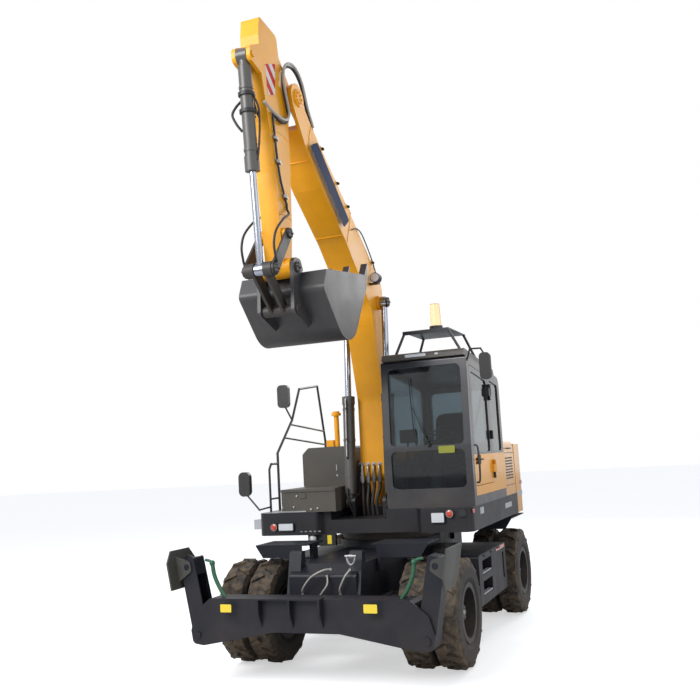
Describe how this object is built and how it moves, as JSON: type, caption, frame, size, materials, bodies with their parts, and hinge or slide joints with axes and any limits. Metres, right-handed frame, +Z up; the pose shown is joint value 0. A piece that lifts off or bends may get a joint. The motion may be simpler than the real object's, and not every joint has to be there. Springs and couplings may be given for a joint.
{
  "type": "wheeled excavator",
  "caption": "Wheeled excavator with twin tyres, offset cab, slewing upper body, folded boom and stick with a toothed bucket, and front stabilisers.",
  "frame": {"origin": "on the ground, below the middle of the machine's length and width with its arm folded", "axes": "+X towards the machine's left, where its cab is; -Y towards the stabiliser end, the front; +Z up"},
  "size_m": [2.96, 5.251, 6.231],
  "materials": {
    "body_paint": "satin yellow paint",
    "chassis_paint": "satin blue-grey paint",
    "deck_paint": "satin yellow paint",
    "cab_paint": "satin grey paint",
    "rim_paint": "satin dark paint, dusty",
    "tyre_rubber": "matte rubber, dusty tread",
    "ring_steel": "satin",
    "pad_paint": "satin, worn",
    "cab_glass": "clear, slightly tinted",
    "seat_fabric": "woven cloth",
    "dark_plastic": "matte",
    "engine_iron": "rough",
    "lamp_housing": "matte",
    "rod_chrome": "polished",
    "link_paint": "satin, worn",
    "bucket_paint": "worn dark paint over rusty steel",
    "beacon_lens": "clear amber"
  },
  "bodies": {
    "chassis": {"chassis_frame": "chassis_paint", "slew_ring": "ring_steel", "front_axle": "chassis_paint", "rear_axle": "chassis_paint", "drive_line": "chassis_paint", "stabiliser_beam": "chassis_paint", "side_box_left": "chassis_paint", "side_box_right": "chassis_paint", "mudguards": "chassis_paint", "tow_clevis": "chassis_paint"},
    "left_knuckle": {"knuckle_left": "chassis_paint"},
    "right_knuckle": {"knuckle_right": "chassis_paint"},
    "front_left_wheel": {"rims_front_left": "rim_paint", "tyres_front_left": "tyre_rubber"},
    "front_right_wheel": {"rims_front_right": "rim_paint", "tyres_front_right": "tyre_rubber"},
    "rear_left_wheel": {"rims_rear_left": "rim_paint", "tyres_rear_left": "tyre_rubber"},
    "rear_right_wheel": {"rims_rear_right": "rim_paint", "tyres_rear_right": "tyre_rubber"},
    "left_stabiliser_leg": {"stabiliser_leg_left": "chassis_paint"},
    "right_stabiliser_leg": {"stabiliser_leg_right": "chassis_paint"},
    "left_foot_pad": {"foot_pad_left": "pad_paint"},
    "right_foot_pad": {"foot_pad_right": "pad_paint"},
    "upper": {"upper_deck": "deck_paint", "cab_shell": "cab_paint", "cab_roof": "cab_paint", "cab_glass": "cab_glass", "seat": "seat_fabric", "seat_base": "dark_plastic", "steering_column": "dark_plastic", "engine_hood": "body_paint", "engine": "engine_iron", "counterweight": "body_paint", "fuel_tank": "body_paint", "tool_boxes": "body_paint", "handrails": "body_paint", "lamps": "lamp_housing", "mirrors": "dark_plastic", "beacon": "beacon_lens", "intake_post": "body_paint", "roof_guard": "cab_paint"},
    "door": {"cab_door": "cab_paint", "door_glass": "cab_glass"},
    "boom": {"boom": "body_paint", "work_lamp": "lamp_housing"},
    "boom_barrels": {"boom_cylinder_barrels": "body_paint"},
    "boom_rods": {"boom_cylinder_rods": "rod_chrome"},
    "stick_barrel": {"stick_cylinder_barrel": "body_paint"},
    "stick_rod": {"stick_cylinder_rod": "rod_chrome"},
    "stick": {"stick": "body_paint"},
    "bucket_barrel": {"bucket_cylinder_barrel": "body_paint"},
    "bucket_rod": {"bucket_cylinder_rod": "rod_chrome"},
    "rocker": {"rocker_arms": "link_paint"},
    "link": {"bucket_link": "link_paint"},
    "bucket": {"bucket": "bucket_paint"}
  },
  "joints": [
    {"name": "swing", "type": "hinge", "parent": "chassis", "child": "upper", "pos_m": [0, 0.55, 1.25], "axis": [0, 0, 1], "continuous": true},
    {"name": "boom_lift", "type": "hinge", "parent": "upper", "child": "boom", "pos_m": [-0.065, 0.41, 1.9], "axis": [-1, 0, 0], "range_deg": [-57, 3]},
    {"name": "stick_crowd", "type": "hinge", "parent": "boom", "child": "stick", "pos_m": [-0.065, -1.735, 5.655], "axis": [1, 0, 0], "range_deg": [-105, 3]},
    {"name": "bucket_curl", "type": "hinge", "parent": "stick", "child": "bucket", "pos_m": [-0.065, -1.995, 3.885], "axis": [1, 0, 0], "range_deg": [-130, 2]},
    {"name": "boom_barrel_tilt", "type": "hinge", "parent": "upper", "child": "boom_barrels", "pos_m": [-0.065, 0.12, 1.56], "axis": [-1, 0, 0], "range_deg": [-52.67, 2.78]},
    {"name": "boom_rod_slide", "type": "slide", "parent": "boom_barrels", "child": "boom_rods", "axis": [0, 0.0752, 0.9972], "range_m": [-0.3788, 0.0218]},
    {"name": "stick_barrel_tilt", "type": "hinge", "parent": "boom", "child": "stick_barrel", "pos_m": [-0.065, -0.3, 4.85], "axis": [1, 0, 0], "range_deg": [-17.38, 0.51]},
    {"name": "stick_rod_slide", "type": "slide", "parent": "stick_barrel", "child": "stick_rod", "axis": [0, -0.8259, 0.5639], "range_m": [-0.8519, 0.0263]},
    {"name": "bucket_barrel_tilt", "type": "hinge", "parent": "stick", "child": "bucket_barrel", "pos_m": [-0.065, -2.53, 5.79], "axis": [1, 0, 0], "range_deg": [-0.11, 6.35]},
    {"name": "bucket_rod_slide", "type": "slide", "parent": "bucket_barrel", "child": "bucket_rod", "axis": [0, 0.0795, -0.9968], "range_m": [-0.8201, 0.0146]},
    {"name": "rocker_swing", "type": "hinge", "parent": "stick", "child": "rocker", "pos_m": [-0.065, -2.05, 4.205], "axis": [1, 0, 0], "range_deg": [-112.14, 1.74]},
    {"name": "link_swing", "type": "hinge", "parent": "rocker", "child": "link", "pos_m": [-0.065, -2.372, 3.81], "axis": [1, 0, 0], "range_deg": [-1.05, 67.76]},
    {"name": "steer_left", "type": "hinge", "parent": "chassis", "child": "left_knuckle", "pos_m": [0.6, -0.85, 0.5275], "axis": [0, 0, 1], "range_deg": [-25, 25]},
    {"name": "steer_right", "type": "hinge", "parent": "chassis", "child": "right_knuckle", "pos_m": [-0.6, -0.85, 0.5275], "axis": [0, 0, 1], "range_deg": [-25.5, 25.5]},
    {"name": "front_left_spin", "type": "hinge", "parent": "left_knuckle", "child": "front_left_wheel", "pos_m": [0.97, -0.85, 0.5275], "axis": [1, 0, 0], "continuous": true},
    {"name": "front_right_spin", "type": "hinge", "parent": "right_knuckle", "child": "front_right_wheel", "pos_m": [-0.97, -0.85, 0.5275], "axis": [1, 0, 0], "continuous": true},
    {"name": "rear_left_spin", "type": "hinge", "parent": "chassis", "child": "rear_left_wheel", "pos_m": [0.97, 2, 0.5275], "axis": [1, 0, 0], "continuous": true},
    {"name": "rear_right_spin", "type": "hinge", "parent": "chassis", "child": "rear_right_wheel", "pos_m": [-0.97, 2, 0.5275], "axis": [1, 0, 0], "continuous": true},
    {"name": "left_leg_lower", "type": "hinge", "parent": "chassis", "child": "left_stabiliser_leg", "pos_m": [1.14, -1.79, 0.48], "axis": [0, 1, 0], "range_deg": [0, 111]},
    {"name": "right_leg_lower", "type": "hinge", "parent": "chassis", "child": "right_stabiliser_leg", "pos_m": [-1.14, -1.79, 0.48], "axis": [0, -1, 0], "range_deg": [0, 111]},
    {"name": "left_pad_tilt", "type": "hinge", "parent": "left_stabiliser_leg", "child": "left_foot_pad", "pos_m": [1.25114, -1.79, 1.11028], "axis": [0, -1, 0], "range_deg": [0, 31]},
    {"name": "right_pad_tilt", "type": "hinge", "parent": "right_stabiliser_leg", "child": "right_foot_pad", "pos_m": [-1.25114, -1.79, 1.11028], "axis": [0, 1, 0], "range_deg": [0, 31]},
    {"name": "door_hinge", "type": "hinge", "parent": "upper", "child": "door", "pos_m": [1.264, 0.752, 2.2], "axis": [0, 0, 1], "range_deg": [0, 110]}
  ],
  "couplings": [
    {"joint": "boom_barrel_tilt", "follows": "boom_lift", "ratio": 0.90572},
    {"joint": "boom_rod_slide", "follows": "boom_lift", "m_per_rad": 0.37878},
    {"joint": "stick_barrel_tilt", "follows": "stick_crowd", "ratio": 0.16214},
    {"joint": "stick_rod_slide", "follows": "stick_crowd", "m_per_rad": 0.46377},
    {"joint": "bucket_barrel_tilt", "follows": "bucket_curl", "ratio": -0.047797},
    {"joint": "bucket_rod_slide", "follows": "bucket_curl", "m_per_rad": 0.36055},
    {"joint": "rocker_swing", "follows": "bucket_curl", "ratio": 0.84562},
    {"joint": "link_swing", "follows": "bucket_curl", "ratio": -0.51094},
    {"joint": "steer_right", "follows": "steer_left", "ratio": 1}
  ]
}
